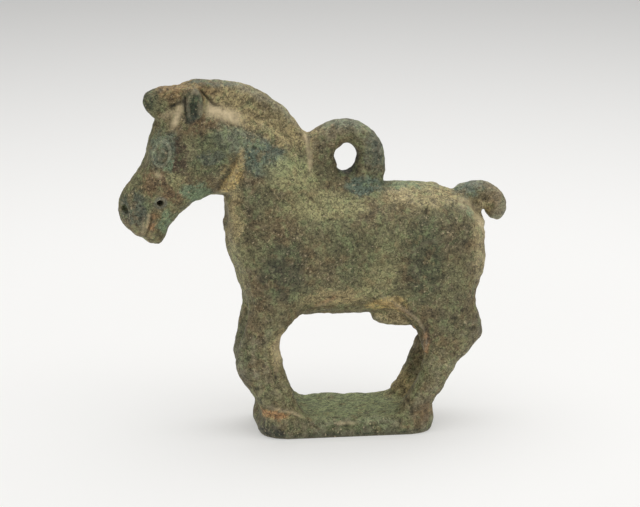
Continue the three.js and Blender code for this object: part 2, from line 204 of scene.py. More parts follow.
modelling = {
    "middleBlend": 3.0,      # width over which a grab of one side grows from the middle
    "sideFacing": 1.4,       # how soon the skin counts as facing sideways
    "taper": 0.18,           # share of a line over which each of its ends fades
    "tipStrength": 0.25,
    "grabs": [    # middle, half reach and shift in the side view
        ((-20.2, 39.6), (1.7, 1.7), (0.95, 0.75)),     # corner of jaw and neck
        ((-20.0, 36.4), (1.6, 3.2), (0.60, 0.0)),
        ((-19.6, 32.9), (1.6, 2.6), (-0.25, 0.0)),
        ((-22.4, 39.8), (1.2, 1.0), (0.0, -0.30)),
        ((-31.2, 53.0), (1.1, 1.4), (0.55, 0.0)),      # under the forelock
        ((-33.2, 56.4), (1.4, 2.2), (0.42, 0.0)),
        ((-29.6, 58.4), (1.6, 1.0), (0.0, 0.22)),
        ((-21.6, 59.4), (4.6, 1.6), (0.0, -0.34)),     # crest
        ((-26.0, 58.8), (1.6, 1.0), (0.0, -0.28)),
        ((-9.9, 53.8), (2.0, 1.4), (0.10, 0.20)),
        ((-5.0, 50.4), (1.6, 1.2), (0.0, 0.28)),
        ((-31.7, 49.7), (1.4, 2.2), (-0.20, 0.0)),     # forehead
        ((-33.4, 46.2), (1.8, 2.6), (0.52, 0.0)),      # nose
        ((-30.0, 32.4), (2.2, 1.4), (0.15, -0.28)),    # chin
        ((-33.2, 32.9), (1.6, 1.2), (0.10, 0.32)),
        ((-28.1, 35.4), (1.3, 2.0), (0.28, 0.0)),
        ((-24.8, 38.6), (2.2, 1.4), (0.0, 0.30)),      # under the jaw
        ((-1.6, 44.7), (1.1, 1.8), (0.50, 0.0)),       # eye of the loop
        ((2.2, 44.6), (1.0, 1.9), (-0.24, 0.0)),
        ((-0.6, 43.0), (1.0, 0.9), (0.0, -0.26)),
        ((-0.8, 47.5), (1.4, 0.9), (0.0, -0.16)),
        ((7.4, 41.6), (2.2, 1.6), (-0.62, -0.45)),     # rear foot of the loop
        ((15.5, 40.3), (1.7, 1.2), (0.0, 0.48)),
        ((18.2, 39.7), (1.3, 1.0), (0.0, -0.38)),      # before the tail
        ((23.0, 40.4), (3.0, 1.3), (0.0, 0.16)),       # tail
        ((26.4, 36.0), (1.4, 2.6), (0.22, 0.0)),
        ((25.6, 34.6), (2.0, 1.3), (0.0, -0.42)),
        ((22.5, 35.0), (1.2, 1.9), (0.85, 0.0)),       # under the tail
        ((21.3, 23.3), (1.5, 2.1), (-0.60, 0.0)),      # over the hock
        ((22.9, 30.9), (1.8, 2.8), (-0.44, 0.0)),      # back of the rump
        ((22.9, 26.6), (1.5, 2.0), (0.20, 0.0)),
        ((22.2, 16.9), (1.3, 2.4), (0.24, 0.0)),
        ((21.9, 15.9), (1.2, 1.4), (0.28, 0.0)),
        ((20.6, 13.8), (1.4, 1.5), (-0.32, 0.0)),
        ((14.2, 5.4), (1.4, 2.2), (-0.40, 0.0)),       # hind hoof
        ((-6.2, 19.4), (2.2, 1.4), (0.0, -0.36)),      # girth
        ((5.2, 18.2), (1.6, 1.9), (-0.42, -0.20)),     # front of the sheath
        ((9.0, 17.0), (2.0, 1.0), (0.0, 0.25)),
        ((-18.4, 28.0), (2.0, 5.0), (0.58, 0.0)),      # chest
        ((-17.6, 15.0), (1.6, 6.0), (-0.18, 0.0)),     # forelegs
        ((-14.6, 2.7), (1.2, 1.4), (0.40, 0.0)),       # fore end of the plinth
        ((-14.4, 0.4), (1.8, 1.3), (-0.34, 0.0)),
        ((-24.4, 55.8), (2.4, 3.6), (0.30, 0.0)),      # ears
        ((-24.5, 55.3), (1.3, 2.6), (-0.60, 0.0)),     # hollows of the ears
    ],
    "leftGrabs": [    # the left foreleg stands a little before the right one
        ((-17.6, 14.5), (3.4, 9.5), (-1.05, 0.0)),
        ((-11.6, 17.8), (1.3, 1.6), (-0.40, 0.0)),
        ((-11.3, 13.4), (1.2, 1.8), (0.28, 0.0)),
    ],
    "rightGrabs": [    # inside of the right hind leg, and the rear edge of the plinth
        ((12.8, 13.5), (1.2, 1.4), (0.85, 0.0)),
        ((11.7, 9.8), (1.3, 1.8), (-0.30, 0.0)),
        ((8.1, 3.8), (1.6, 1.2), (0.50, -0.15)),
        ((-7.2, 3.3), (2.0, 1.0), (0.0, 0.30)),
        ((-1.8, 3.2), (3.4, 1.0), (0.0, 0.32)),
    ],
    "ridges": [
        ([(-26.2, 54.4), (-27.0, 52.4), (-28.3, 50.6), (-28.8, 49.6)], 0.9, 0.34),      # brow
        ([(-29.3, 46.2), (-30.5, 44.6), (-31.6, 42.6)], 1.2, 0.16),                     # cheekbone
        ([(-17.3, 48.3), (-16.6, 44.7), (-16.1, 41.7), (-16.2, 38.3)], 1.3, 0.22),      # neck front
        ([(5.4, 23.4), (7.0, 22.6), (8.6, 21.4), (10.2, 20.2), (11.5, 19.0), (12.5, 17.2),
          (12.9, 15.3), (12.4, 12.8), (11.6, 11.2)], 0.46, 0.46),                       # flank fold
        ([(-5.6, 21.6), (-3.9, 22.6), (-2.0, 23.6)], 0.5, 0.20),
        ([(-15.6, 17.8), (-16.0, 14.6), (-15.8, 11.6), (-14.2, 8.0)], 0.9, 0.15),       # shin
        ([(-34.2, 40.6), (-33.4, 38.8), (-33.5, 37.0), (-34.2, 35.6)], 0.6, 0.14),      # upper lip
    ],
    "grooves": [
        ([(-24.0, 58.1), (-23.2, 57.3), (-22.4, 56.3), (-21.5, 55.4), (-20.3, 54.9)], 0.30, 0.42),
        ([(-26.4, 57.6), (-26.4, 55.8), (-26.3, 54.0)], 0.28, 0.36),                    # before the ear
        ([(-26.5, 56.5), (-27.4, 55.8), (-28.7, 55.2)], 0.30, 0.30),
        ([(-27.7, 51.4), (-27.7, 49.0), (-27.6, 46.6), (-28.1, 44.6)], 1.4, 0.30),      # behind the eye
        ([(-33.2, 38.8), (-33.8, 37.4), (-34.0, 35.8)], 0.45, 0.16),                    # round the lip
        ([(-31.8, 37.9), (-32.0, 36.5), (-32.4, 35.0), (-33.0, 33.5)], 0.34, 0.36),     # mouth
        ([(-17.9, 47.6), (-19.4, 44.6), (-20.9, 42.0), (-21.8, 40.8)], 0.7, 0.36),      # behind the jaw
        ([(7.2, 21.2), (9.2, 19.6), (10.7, 18.1), (11.6, 16.6), (11.9, 15.0),
          (11.4, 12.6)], 0.50, 0.34),                                                   # under the fold
        ([(-12.3, 18.0), (-13.2, 15.3), (-12.9, 12.3), (-11.8, 9.3), (-10.4, 6.8)], 0.8, 0.30),
        ([(-14.2, 5.4), (-12.4, 5.1), (-9.9, 4.3), (-7.4, 3.0)], 0.35, 0.14),           # over the hoof
        ([(-13.6, 3.9), (-11.4, 4.2), (-9.4, 3.6)], 0.4, 0.20),
        ([(9.3, 3.9), (11.5, 3.6), (13.2, 3.9)], 0.45, 0.16),
        ([(9.2, 6.2), (10.2, 4.6), (10.4, 3.4)], 0.4, 0.22),                          # before the hind hoof
        ([(-5.8, 49.9), (-6.0, 47.6), (-6.0, 45.4)], 0.5, 0.22),                        # mane to loop
    ],
    "swells": [   # middle, half lengths, turn in degrees, height
        ((-23.9, 46.6), (4.4, 4.8), 20.0, 0.30),      # jowl
        ((-25.9, 48.6), (1.9, 2.1), 0.0, 0.22),       # temple
        ((-34.8, 38.0), (2.2, 2.9), 20.0, 0.12),      # muzzle
        ((-30.3, 48.0), (2.0, 2.8), 12.0, 0.14),      # eye socket
        ((-9.6, 28.5), (4.5, 7.0), 0.0, 0.22),        # shoulder
        ((13.6, 29.5), (5.6, 7.5), 0.0, 0.22),        # rump
        ((1.5, 32.5), (7.0, 3.4), 0.0, -0.14),        # loin
        ((20.6, 17.6), (1.9, 2.4), 0.0, 0.14),        # hock
    ],
    "domes": [    # middle, half lengths, turn in degrees, height, share of it that is flat on top
        ((-24.8, 55.6), (1.80, 3.1), 4.0, 0.50, 0.62),       # ear
        ((-25.1, 55.1), (0.80, 2.0), 4.0, -0.42, 0.30),      # the ear's hollow
        ((-30.3, 47.9), (0.92, 1.40), 12.0, 0.22, 0.55),     # pupil
        ((-36.2, 38.4), (0.62, 0.85), -20.0, -0.75, 0.35),   # nostril
    ],
    "fills": [    # hollow corners that run smoothly into what stands over them
        ([(-15.2, 52.6), (-13.0, 50.9), (-10.6, 48.9), (-8.2, 46.6)], 1.5, 0.55),
    ],
    "rims": [     # raised rings: middle, half lengths, turn in degrees, half the width, height
        ((-30.3, 48.0), (1.28, 2.00), 12.0, 0.42, 0.28),     # eyelid
    ],
}


def nearLine(points, line):
    # how far each point is from a bent line in the side view, and how far along the line
    corners = np.array(line, dtype=float)
    lengths = np.hypot(*np.diff(corners, axis=0).T)
    reached = np.concatenate([[0.0], np.cumsum(lengths)]) / lengths.sum()
    nearest = np.full(len(points), np.inf)
    along = np.zeros(len(points))
    for i, step in enumerate(np.diff(corners, axis=0)):
        offset = points[:, [0, 2]] - corners[i]
        share = np.clip(offset @ step / (step @ step), 0.0, 1.0)
        away = np.hypot(*(offset - share[:, None] * step).T)
        along = np.where(away < nearest, reached[i] + share * lengths[i] / lengths.sum(), along)
        nearest = np.minimum(nearest, away)
    return nearest, along


def lineWeight(points, line, halfWidth):
    away, along = nearLine(points, line)
    taper = easeBetween(0.0, modelling["taper"], np.minimum(along, 1.0 - along))
    tip = modelling["tipStrength"]
    return easeBetween(halfWidth, 0.0, away) * (tip + (1.0 - tip) * taper)


def spotReach(points, middle, half, turn):
    x, z = points[:, 0] - middle[0], points[:, 2] - middle[1]
    c, s = math.cos(math.radians(turn)), math.sin(math.radians(turn))
    return np.hypot((x * c - z * s) / half[0], (x * s + z * c) / half[1])


def grabSkin(mesh, grabs, side=0):
    # side is -1 for the horse's left, 1 for its right and 0 for both
    points = readPoints(mesh)
    share = easeBetween(0.0, modelling["middleBlend"], side * points[:, 1]) if side else 1.0
    for middle, half, shift in grabs:
        weight = easeBetween(1.0, 0.0, spotReach(points, middle, half, 0.0)) * share
        points[:, [0, 2]] += weight[:, None] * np.array(shift)
    writePoints(mesh, points)


def modelSkin(mesh, plan):
    points, normals = readPoints(mesh), readNormals(mesh)
    outward = np.clip(plan["sideFacing"] * normals[:, 1] * np.sign(points[:, 1]), 0.0, 1.0)
    height = np.zeros(len(points))
    for line, halfWidth, rise in plan["ridges"]:
        height += rise * lineWeight(points, line, halfWidth) * outward
    for line, halfWidth, depth in plan["grooves"]:
        height -= depth * lineWeight(points, line, halfWidth) * outward
    for middle, half, turn, rise in plan["swells"]:
        height += rise * easeBetween(1.0, 0.0, spotReach(points, middle, half, turn)) * outward
    for middle, half, turn, rise, flat in plan["domes"]:
        height += rise * easeBetween(1.0, flat, spotReach(points, middle, half, turn)) * outward
    for middle, half, turn, halfWidth, rise in plan["rims"]:
        fromRim = np.abs(spotReach(points, middle, half, turn) - 1.0) * min(half)
        height += rise * easeBetween(halfWidth, 0.0, fromRim) * outward
    for line, halfWidth, rise in plan["fills"]:
        height += rise * lineWeight(points, line, halfWidth)
    writePoints(mesh, points + normals * height[:, None])


grabSkin(horse.data, modelling["grabs"])
grabSkin(horse.data, modelling["leftGrabs"], side=-1)
grabSkin(horse.data, modelling["rightGrabs"], side=1)
modelSkin(horse.data, modelling)
smoothMesh(horse.data, 1)
print("skin modelled")


# The hole for the bit, drilled through the corners of the mouth.

bitHole = {"at": (-30.5, 39.6), "radius": 0.5, "length": 14.0}


def drillBitHole(piece, plan):
    mesh = bpy.data.meshes.new("bit drill")
    drill = bmesh.new()
    turned = Matrix.Rotation(math.radians(90.0), 4, "X")
    turned.translation = Vector((plan["at"][0], 0.0, plan["at"][1])) * mm
    bmesh.ops.create_cone(drill, cap_ends=True, segments=24, depth=plan["length"] * mm, matrix=turned,
                          radius1=plan["radius"] * mm, radius2=plan["radius"] * mm)
    drill.to_mesh(mesh)
    drill.free()
    tool = bpy.data.objects.new("bit drill", mesh)
    bpy.context.scene.collection.objects.link(tool)
    cut = piece.modifiers.new("bit hole", "BOOLEAN")
    cut.operation = "DIFFERENCE"
    cut.solver = "EXACT"
    cut.object = tool
    applyModifiers(piece)
    bpy.data.objects.remove(tool)


drillBitHole(horse, bitHole)
print("bit hole drilled")


# Casting lumps, corrosion crust and pits. Sizes and depths in millimetres.

corrosion = {
    "lumps": {"size": 3.4, "depth": 0.16, "octaves": 2},
    "crust": {"size": 1.0, "depth": 0.10, "octaves": 3},
    "pits": {"size": 1.3, "depth": 0.13, "from": 0.44, "to": 0.68},
    "flatFoot": 0.8,     # height over which the plinth's foot stays flat
    "seed": 17.0,
}


def noiseAt(points, size, octaves, seed):
    shift = Vector((seed, 1.7 * seed, -seed))
    return np.array([noise.fractal(Vector(p) / size + shift, 1.0, 2.0, octaves) for p in points])


def corrode(mesh, plan):
    points, normals = readPoints(mesh), readNormals(mesh)
    lumps = noiseAt(points, plan["lumps"]["size"], plan["lumps"]["octaves"], plan["seed"])
    crust = noiseAt(points, plan["crust"]["size"], plan["crust"]["octaves"], 2.3 * plan["seed"])
    pits = easeBetween(plan["pits"]["from"], plan["pits"]["to"],
                       noiseAt(points, plan["pits"]["size"], 1, 3.1 * plan["seed"]))
    height = (plan["lumps"]["depth"] * lumps + plan["crust"]["depth"] * crust
              - plan["pits"]["depth"] * pits)
    height *= easeBetween(0.0, plan["flatFoot"], points[:, 2])
    points = points + normals * height[:, None]
    lowest, highest = np.array(cadLow) / mm, np.array(cadHigh) / mm
    writePoints(mesh, np.clip(points, lowest, highest))
    keepValues(mesh, "pits", pits)


corrode(horse.data, corrosion)
print("surface corroded")


# What the patina and the painted sheen, light and shade follow: edges, cracks and crests of the form, and
# lines of gathered colour and of painted light and shade.

relief = {     # rounds of smoothing, and the depths in millimetres between which a mark grows
    # edges: the convex edges, which carry a painted grey sheen
    "edges": (40, -0.10, -0.50),
    "cracks": (6, 0.015, 0.075),
    "crests": (6, -0.015, -0.075),
}

lineMarks = {
    "pale": [     # cream encrustation, and painted light on the ledges under the mane and on the ear tips: line, half its width, strength
        # ledge before the ear, cream and painted light from above
        ([(-26.9, 56.2), (-27.2, 55.0), (-27.8, 53.6), (-28.5, 52.0)], 0.55, 0.85),
        ([(-27.6, 54.6), (-29.0, 54.1), (-30.4, 53.4)], 0.55, 0.35),
        # ledge along the neck under the mane, cream and painted light from above
        ([(-23.2, 54.8), (-21.0, 54.3), (-18.9, 53.6), (-16.9, 52.7)], 1.15, 1.0),
        ([(-6.8, 50.4), (-6.2, 48.8), (-5.9, 46.6), (-5.9, 43.6)], 0.40, 0.75),
        ([(7.0, 22.7), (8.6, 21.5), (10.2, 20.3), (11.5, 19.1), (12.5, 17.4)], 0.26, 0.36),
        ([(-11.0, 17.8), (-11.7, 15.3), (-11.6, 12.8)], 0.9, 0.45),
        ([(18.2, 38.3), (20.2, 37.6), (21.8, 35.8), (22.6, 33.4)], 0.7, 0.55),
        ([(-14.2, 5.5), (-12.4, 5.3), (-9.9, 4.6), (-7.4, 3.4)], 0.25, 0.55),
        # tip of the ear, painted highlight
        ([(-25.4, 57.6), (-24.8, 58.0), (-24.2, 57.5)], 0.30, 0.35),
        ([(-2.4, 2.3), (-0.6, 2.4), (1.2, 2.2)], 0.30, 0.5),
        ([(-33.3, 36.7), (-33.3, 35.2), (-33.5, 34.0)], 0.28, 0.45),
        ([(-32.3, 38.2), (-32.6, 36.6), (-32.9, 35.0)], 0.24, 0.4),
        ([(-31.4, 44.8), (-30.2, 44.0)], 0.5, 0.5),
    ],
    "rust": [     # reddish brown
        ([(12.5, 17.6), (12.9, 15.5), (12.7, 13.8), (12.2, 12.0)], 0.50, 0.85),
        ([(-15.8, 4.2), (-12.6, 4.4), (-9.6, 4.0)], 0.85, 0.35),
        ([(-31.4, 38.2), (-31.7, 36.4), (-32.1, 34.6)], 0.95, 0.75),
        ([(5.0, 22.2), (7.2, 21.8), (9.4, 20.6), (11.0, 18.8)], 0.7, 0.4),
        ([(-5.6, 21.8), (-3.9, 22.7), (-2.0, 23.8)], 0.5, 0.6),
    ],
    "shade green": [     # painted shade in dark green: in the ears' hollows, and as contact shadow along the plinth's foot
        ([(-24.9, 58.0), (-25.3, 56.4), (-25.2, 54.2)], 1.15, 1.0),                     # ears, painted shade in their hollows
        # the plinth's foot, painted contact shadow
        ([(-14.8, 1.6), (-13.6, 0.6), (-11.0, 0.1), (0.0, 0.0), (12.0, 0.0), (13.6, 0.8)], 1.0, 1.0),
    ],
    "dark": [     # soil and painted shade in the creases
        ([(-23.9, 58.0), (-23.2, 57.3), (-22.4, 56.3), (-21.5, 55.4), (-20.3, 54.9)], 0.24, 0.8),
        ([(-26.4, 57.6), (-26.4, 55.8), (-26.3, 54.4)], 0.26, 0.9),
        ([(-26.5, 56.5), (-27.4, 55.8), (-28.7, 55.2)], 0.26, 0.8),
        ([(-27.7, 50.6), (-27.7, 48.8), (-27.6, 46.6), (-28.0, 44.8)], 1.2, 0.15),
        ([(-18.0, 47.9), (-19.3, 45.6), (-20.6, 43.0), (-21.4, 41.6)], 0.45, 0.75),
        ([(-31.8, 37.6), (-32.0, 36.4), (-32.4, 35.0)], 0.26, 0.45),
        # below the flank fold, painted shadow
        ([(8.6, 20.1), (10.4, 18.5), (11.4, 16.8), (11.8, 15.0), (11.3, 12.6)], 0.40, 0.55),
        # inside of the hind leg before its hoof, painted shadow
        ([(9.2, 6.2), (10.2, 4.6), (10.4, 3.4)], 0.30, 0.5),
    ],
}


def markForms(mesh, relief, lineMarks, rims):
    points, normals, edges = readPoints(mesh), readNormals(mesh), readEdges(mesh)
    for name, (rounds, low, high) in relief.items():
        smooth = smoothPoints(points, edges, rounds, (0.5,))
        keepValues(mesh, name, easeBetween(low, high, np.sum((smooth - points) * normals, axis=1)))
    outward = np.clip(1.6 * np.abs(normals[:, 1]) + 0.2, 0.0, 1.0)
    for name, lines in lineMarks.items():
        weight = np.zeros(len(points))
        for line, halfWidth, strength in lines:
            weight = np.maximum(weight, strength * lineWeight(points, line, 1.5 * halfWidth) * outward)
        keepValues(mesh, name, weight)
    weight = np.zeros(len(points))
    for middle, half, turn, halfWidth, _ in rims:
        fromRim = np.abs(spotReach(points, middle, half, turn) - 1.0) * min(half)
        weight = np.maximum(weight, easeBetween(halfWidth, 0.0, fromRim) * outward)
    keepValues(mesh, "rims", weight)


markForms(horse.data, relief, lineMarks, modelling["rims"])
for polygon in horse.data.polygons:
    polygon.use_smooth = True
print("edges and cracks marked on", sum(len(p.vertices) - 2 for p in horse.data.polygons), "triangles")


# The patina, with painted light and shade. Colours are as painted, 0 to 255; places and sizes in
# millimetres.

patina = {
    "ground": (116, 113, 80),
    "green": (97, 107, 72),
    "brown": (116, 97, 70),
    # soil in hollows; the dark lines also use it as painted shade
    "soil and shade": (46, 43, 31),
    # cream; the pale lines also use it as painted light
    "cream": (228, 208, 168),
    "rust": (152, 110, 74),
    # painted sheen: grey laid on the convex edges where light glances off them
    "edge": (104, 112, 106),
    # painted shade: dark green for the ears' hollows and the plinth's foot
    "shade green": (50, 60, 42),
    "eyelid": (140, 146, 124),
    "roughness": 0.66,
    "roughnessDown": 0.08,
    "roughnessUp": 0.12,
    "specular": 0.45,
    "crustHeight": 0.16,
    "grainHeight": 0.07,
    "bumpStrength": 0.8,
    "veinDepth": 0.5,
    "wander": 4.5,           # how far the rims of the stains stray
}

# Patterns: size, detail, shift, roughness and curl.
patterns = {
    "wander": (1.7, 4.0, 3.0, 0.7, 0.0),
    "broad": (5.0, 3.0, 11.0, 0.55, 0.0),
    "mottle": (1.4, 4.0, 29.0, 0.65, 0.0),
    "blotch": (2.2, 4.0, 47.0, 0.65, 0.0),
    "fine": (0.50, 3.0, 5.0, 0.75, 1.2),
    "grains": (0.42, 2.0, 61.0, 0.55, 0.0),
    "coarse": (4.0, 2.0, 83.0, 0.55, 0.0),
    "bends": (1.5, 2.0, 97.0, 0.6, 0.8),
}

# Where in its pattern each weight starts and ends, and its value at both.
steps = {
    "patch rim": (1.25, 0.65),
    "brown ground": (0.40, 0.62, 0.0, 0.6),
    "green": (0.50, 0.62, 0.0, 1.0),
    "brown": (0.54, 0.64, 0.0, 1.0),
    "rust": (0.36, 0.56, 0.3, 0.95),
    # painted shade in dark green
    "shade green": (0.34, 0.60, 1.0, 0.7),
    "fine shade": (0.32, 0.68, 0.34, 1.84),
    "mottle shade": (0.32, 0.68, 0.70, 1.33),
    "calm": (0.1, 0.8, 1.0, 0.3),
    "cream": (0.34, 0.60, 0.62, 1.0),
    "pale grains": (0.60, 0.74, 0.0, 0.60),
    "dark grains": (0.38, 0.27, 0.0, 0.55),
    "coarse": (0.38, 0.62, 0.25, 1.0),
    "veins": (0.030, 0.0, 0.0, 1.0),
    "roughness": (0.35, 0.65),
}

# How strongly each colour lies over what is under it.
strengths = {
    "green": 0.55,
    "brown": 0.48,
    # edges: strength of the painted grey sheen on the convex edges
    "edges": 0.5,
    "rims": 0.5,
    "veins": 0.45,
    "crests": 0.12,
    "cracks": 0.45,
    "dark": 0.8,
    "pits": 0.2,
}

pigments = {
    # painted shade, for the loop's hole and the plinth's corner
    "shadow black": (40, 40, 32),
    "black bronze": (56, 62, 46),
    "dark olive": (76, 81, 58),
    "umber": (86, 71, 54),
    "drab": (90, 85, 62),
    "olive": (90, 95, 65),
    "slate": (88, 96, 82),
    "teal": (88, 107, 95),
    "ash green": (104, 116, 98),
    "verdigris": (120, 141, 110),
    "pale green": (148, 160, 112),
    "chestnut": (121, 97, 68),
    "tan": (147, 121, 83),
    "khaki": (137, 132, 97),
    "pale olive": (156, 152, 107),
    "straw": (173, 157, 113),
    "sand": (180, 165, 124),
    "ochre": (190, 165, 106),
    "rust": (176, 134, 88),
}

# Patches with ragged rims, stains and some painted light and shade: middle, half lengths, turn about the
# side view, pigment and strength.
# The renderer takes about 70 of them in one material. With more the whole horse comes out black.
patches = [
    ((-13.5, 0.0, 52.6), (13.5, 3.2, 6.6), 38.0, "straw", 0.85),           # mane
    ((-26.0, 0.0, 58.0), (6.5, 3.0, 2.6), 8.0, "tan", 0.75),               # mane before the ears
    ((-12.6, 0.0, 54.7), (5.5, 3.0, 2.2), 38.0, "drab", 0.45),             # back of the mane
    ((-20.5, 0.0, 59.3), (7.0, 3.0, 0.9), 2.0, "slate", 0.85),             # top of the mane, painted grey sheen along the crest
    ((-32.6, 0.0, 56.6), (2.4, 3.2, 2.8), 0.0, "dark olive", 0.9),         # forelock
    ((-24.7, -5.2, 55.6), (2.9, 2.7, 3.8), 4.0, "black bronze", 1.0),      # left ear
    ((-24.7, 5.2, 55.6), (2.9, 2.7, 3.8), 4.0, "black bronze", 1.0),       # right ear
    ((-23.2, -3.6, 52.2), (3.2, 3.0, 1.8), 0.0, "chestnut", 0.75),         # below the ear
    ((-18.0, -4.0, 49.6), (5.0, 3.4, 2.6), 10.0, "ash green", 0.62),       # neck, upper
    ((-13.2, -4.8, 46.8), (4.0, 3.4, 3.4), 30.0, "teal", 0.72),            # neck, lower
    ((-23.2, -4.0, 47.6), (3.6, 3.0, 4.2), 10.0, "olive", 0.65),           # jowl
    ((-25.9, -4.4, 48.6), (1.6, 3.0, 1.7), 0.0, "khaki", 0.7),             # temple
    ((-27.8, -4.4, 47.4), (1.7, 2.5, 3.9), 0.0, "umber", 0.9),             # behind the eye, umber patina darkened by painted shade in the recess
    ((-22.4, -4.2, 47.0), (2.6, 3.0, 1.1), 0.0, "slate", 0.7),             # cheek, middle
    ((-30.4, -4.0, 48.6), (2.3, 3.0, 3.6), 10.0, "ash green", 0.8),        # round the eye
    ((-30.2, -4.6, 47.8), (1.0, 2.0, 1.5), 12.0, "dark olive", 0.75),      # pupil
    ((-29.2, -4.3, 45.4), (0.7, 2.4, 1.9), 0.0, "verdigris", 0.75),        # under the eye
    ((-31.4, -3.4, 43.4), (2.8, 3.2, 1.8), -30.0, "chestnut", 0.8),        # nose
    ((-27.8, -4.0, 41.4), (3.0, 2.6, 1.7), -25.0, "chestnut", 0.75),       # cheek
    ((-34.6, -3.0, 38.8), (2.7, 4.0, 2.6), 0.0, "slate", 0.85),            # muzzle
    ((-29.6, -2.8, 36.2), (1.5, 3.0, 2.2), 20.0, "verdigris", 0.8),        # chin
    ((-24.5, -3.0, 41.0), (3.4, 3.0, 1.8), 25.0, "verdigris", 0.85),       # under the jaw
    ((-18.9, -4.6, 44.0), (1.3, 3.0, 4.6), 25.0, "ochre", 0.78),           # front of the neck, ochre patina with a painted highlight on the facet
    ((-19.0, -3.6, 36.5), (1.9, 4.0, 6.0), 5.0, "straw", 0.75),            # throat
    ((-16.0, -5.0, 38.8), (1.5, 3.0, 4.8), 0.0, "drab", 0.5),              # beside the throat
    ((-8.8, -4.6, 43.9), (5.2, 3.4, 2.6), 10.0, "pale olive", 0.72),       # withers
    ((-9.0, -3.8, 45.2), (3.2, 2.4, 2.2), 0.0, "pale green", 0.36),        # neck above the withers
    ((-3.8, -5.6, 38.7), (7.6, 3.4, 2.6), 0.0, "pale olive", 0.75),        # top of the barrel
    ((-4.0, 0.0, 45.6), (2.4, 3.4, 5.0), 0.0, "drab", 0.65),               # loop, front
    ((0.0, 0.0, 51.6), (5.0, 3.0, 1.2), 0.0, "ash green", 0.6),            # loop, top
    ((5.0, 0.0, 46.4), (2.6, 3.4, 4.6), 0.0, "slate", 0.8),                # loop, rear
    ((3.2, -2.4, 41.2), (3.6, 2.6, 1.5), 0.0, "teal", 0.8),                # foot of the loop
    ((11.5, 0.0, 41.2), (7.0, 4.0, 1.6), 0.0, "verdigris", 0.55),          # back
    ((13.0, 0.0, 39.2), (8.5, 9.0, 1.8), -3.0, "straw", 0.62),             # top of the rump
    ((15.5, -7.4, 34.0), (5.4, 3.4, 3.2), 0.0, "drab", 0.55),              # rump
    ((21.8, 0.0, 31.0), (2.2, 9.0, 7.5), 0.0, "sand", 0.7),                # back of the rump
    ((0.4, 0.0, 44.6), (3.6, 3.4, 3.7), 0.0, "umber", 0.4),                # inside of the loop, painted shade round the hole
    ((0.6, 0.0, 44.4), (3.6, 1.5, 4.2), 0.0, "shadow black", 0.8),                 # walls of the loop's hole, painted shade
    ((0.0, 0.0, -0.3), (17.0, 12.0, 1.2), 0.0, "black bronze", 0.75),      # foot of the plinth, painted contact shadow
    ((20.6, 0.0, 39.6), (2.6, 3.0, 1.7), 0.0, "teal", 0.8),                # tail root
    ((25.0, 0.0, 36.6), (2.2, 3.0, 3.0), 0.0, "tan", 0.5),                 # tail curl
    ((22.4, 0.0, 36.9), (1.8, 3.0, 1.4), 0.0, "sand", 0.8),                # under the tail
    ((20.4, -4.6, 36.6), (0.9, 1.8, 1.0), 0.0, "verdigris", 0.7),          # green spot
    ((12.2, -8.0, 29.5), (3.4, 2.6, 7.0), 4.0, "dark olive", 0.78),        # dark band of the rump
    ((5.2, -8.0, 26.0), (3.2, 3.0, 6.0), 0.0, "pale olive", 0.5),          # flank, front
    ((0.5, -8.5, 31.0), (4.4, 3.0, 4.8), 0.0, "olive", 0.5),               # barrel
    ((-10.8, -6.5, 28.5), (4.2, 4.4, 5.6), 10.0, "black bronze", 0.72),    # shoulder
    ((-18.2, 0.0, 28.0), (2.4, 7.0, 6.0), 0.0, "pale olive", 0.55),        # chest
    ((-2.5, -6.8, 23.4), (5.6, 3.0, 1.8), 0.0, "straw", 0.75),             # belly
    ((8.6, -3.7, 39.6), (2.4, 2.4, 1.2), 0.0, "sand", 0.6),                # rump, front
    ((-28.4, -4.4, 43.8), (1.4, 2.4, 1.1), -20.0, "pale olive", 0.7),      # beside the nose
    ((9.8, 4.4, 4.6), (3.4, 5.0, 2.8), 0.0, "straw", 1.0),                 # far hind hoof
    ((-11.0, -7.2, 9.0), (1.4, 2.6, 2.0), 0.0, "khaki", 0.5),              # fore cannon
    ((6.6, -5.6, 21.8), (3.8, 3.0, 1.7), -12.0, "ochre", 0.8),             # flank
    ((9.0, -1.8, 18.4), (4.2, 3.0, 1.9), 0.0, "sand", 0.9),                # sheath
    ((20.6, -7.0, 17.6), (2.0, 3.0, 2.6), 0.0, "drab", 0.7),               # hock
    ((12.9, -7.2, 15.4), (1.0, 2.0, 3.4), 0.0, "umber", 0.5),              # flank fold, lower end
    ((17.2, -7.6, 20.2), (3.2, 3.0, 3.6), 0.0, "drab", 0.45),              # thigh
    ((14.6, -6.6, 11.6), (2.2, 3.0, 3.6), -20.0, "khaki", 0.5),            # hind cannon
    ((-11.8, -6.8, 15.2), (2.0, 3.2, 3.2), 0.0, "straw", 0.75),            # tendon
    ((-17.0, 0.0, 12.5), (1.8, 9.0, 6.0), 0.0, "dark olive", 0.6),         # front of the forelegs
    ((0.0, 1.0, 3.4), (11.0, 11.0, 1.2), 0.0, "pale green", 0.75),         # top of the plinth
    ((0.0, -7.6, 1.6), (9.0, 2.0, 1.6), 0.0, "olive", 0.8),                # side of the plinth
    ((-13.6, -7.0, 0.6), (3.4, 3.6, 1.8), 0.0, "shadow black", 0.95),              # corner of the plinth, painted shade on the rounded, undercut corner
    ((-13.0, -7.2, 4.1), (3.4, 3.0, 0.9), 0.0, "rust", 0.9),               # fore hoof
    ((12.4, -7.0, 3.6), (2.2, 3.0, 1.6), 0.0, "chestnut", 0.6),            # hind hoof
]


def painted(colour):
    def linear(c):
        return c / 12.92 if c <= 0.04045 else ((c + 0.055) / 1.055) ** 2.4
    return tuple(linear(c / 255.0) for c in colour) + (1.0,)


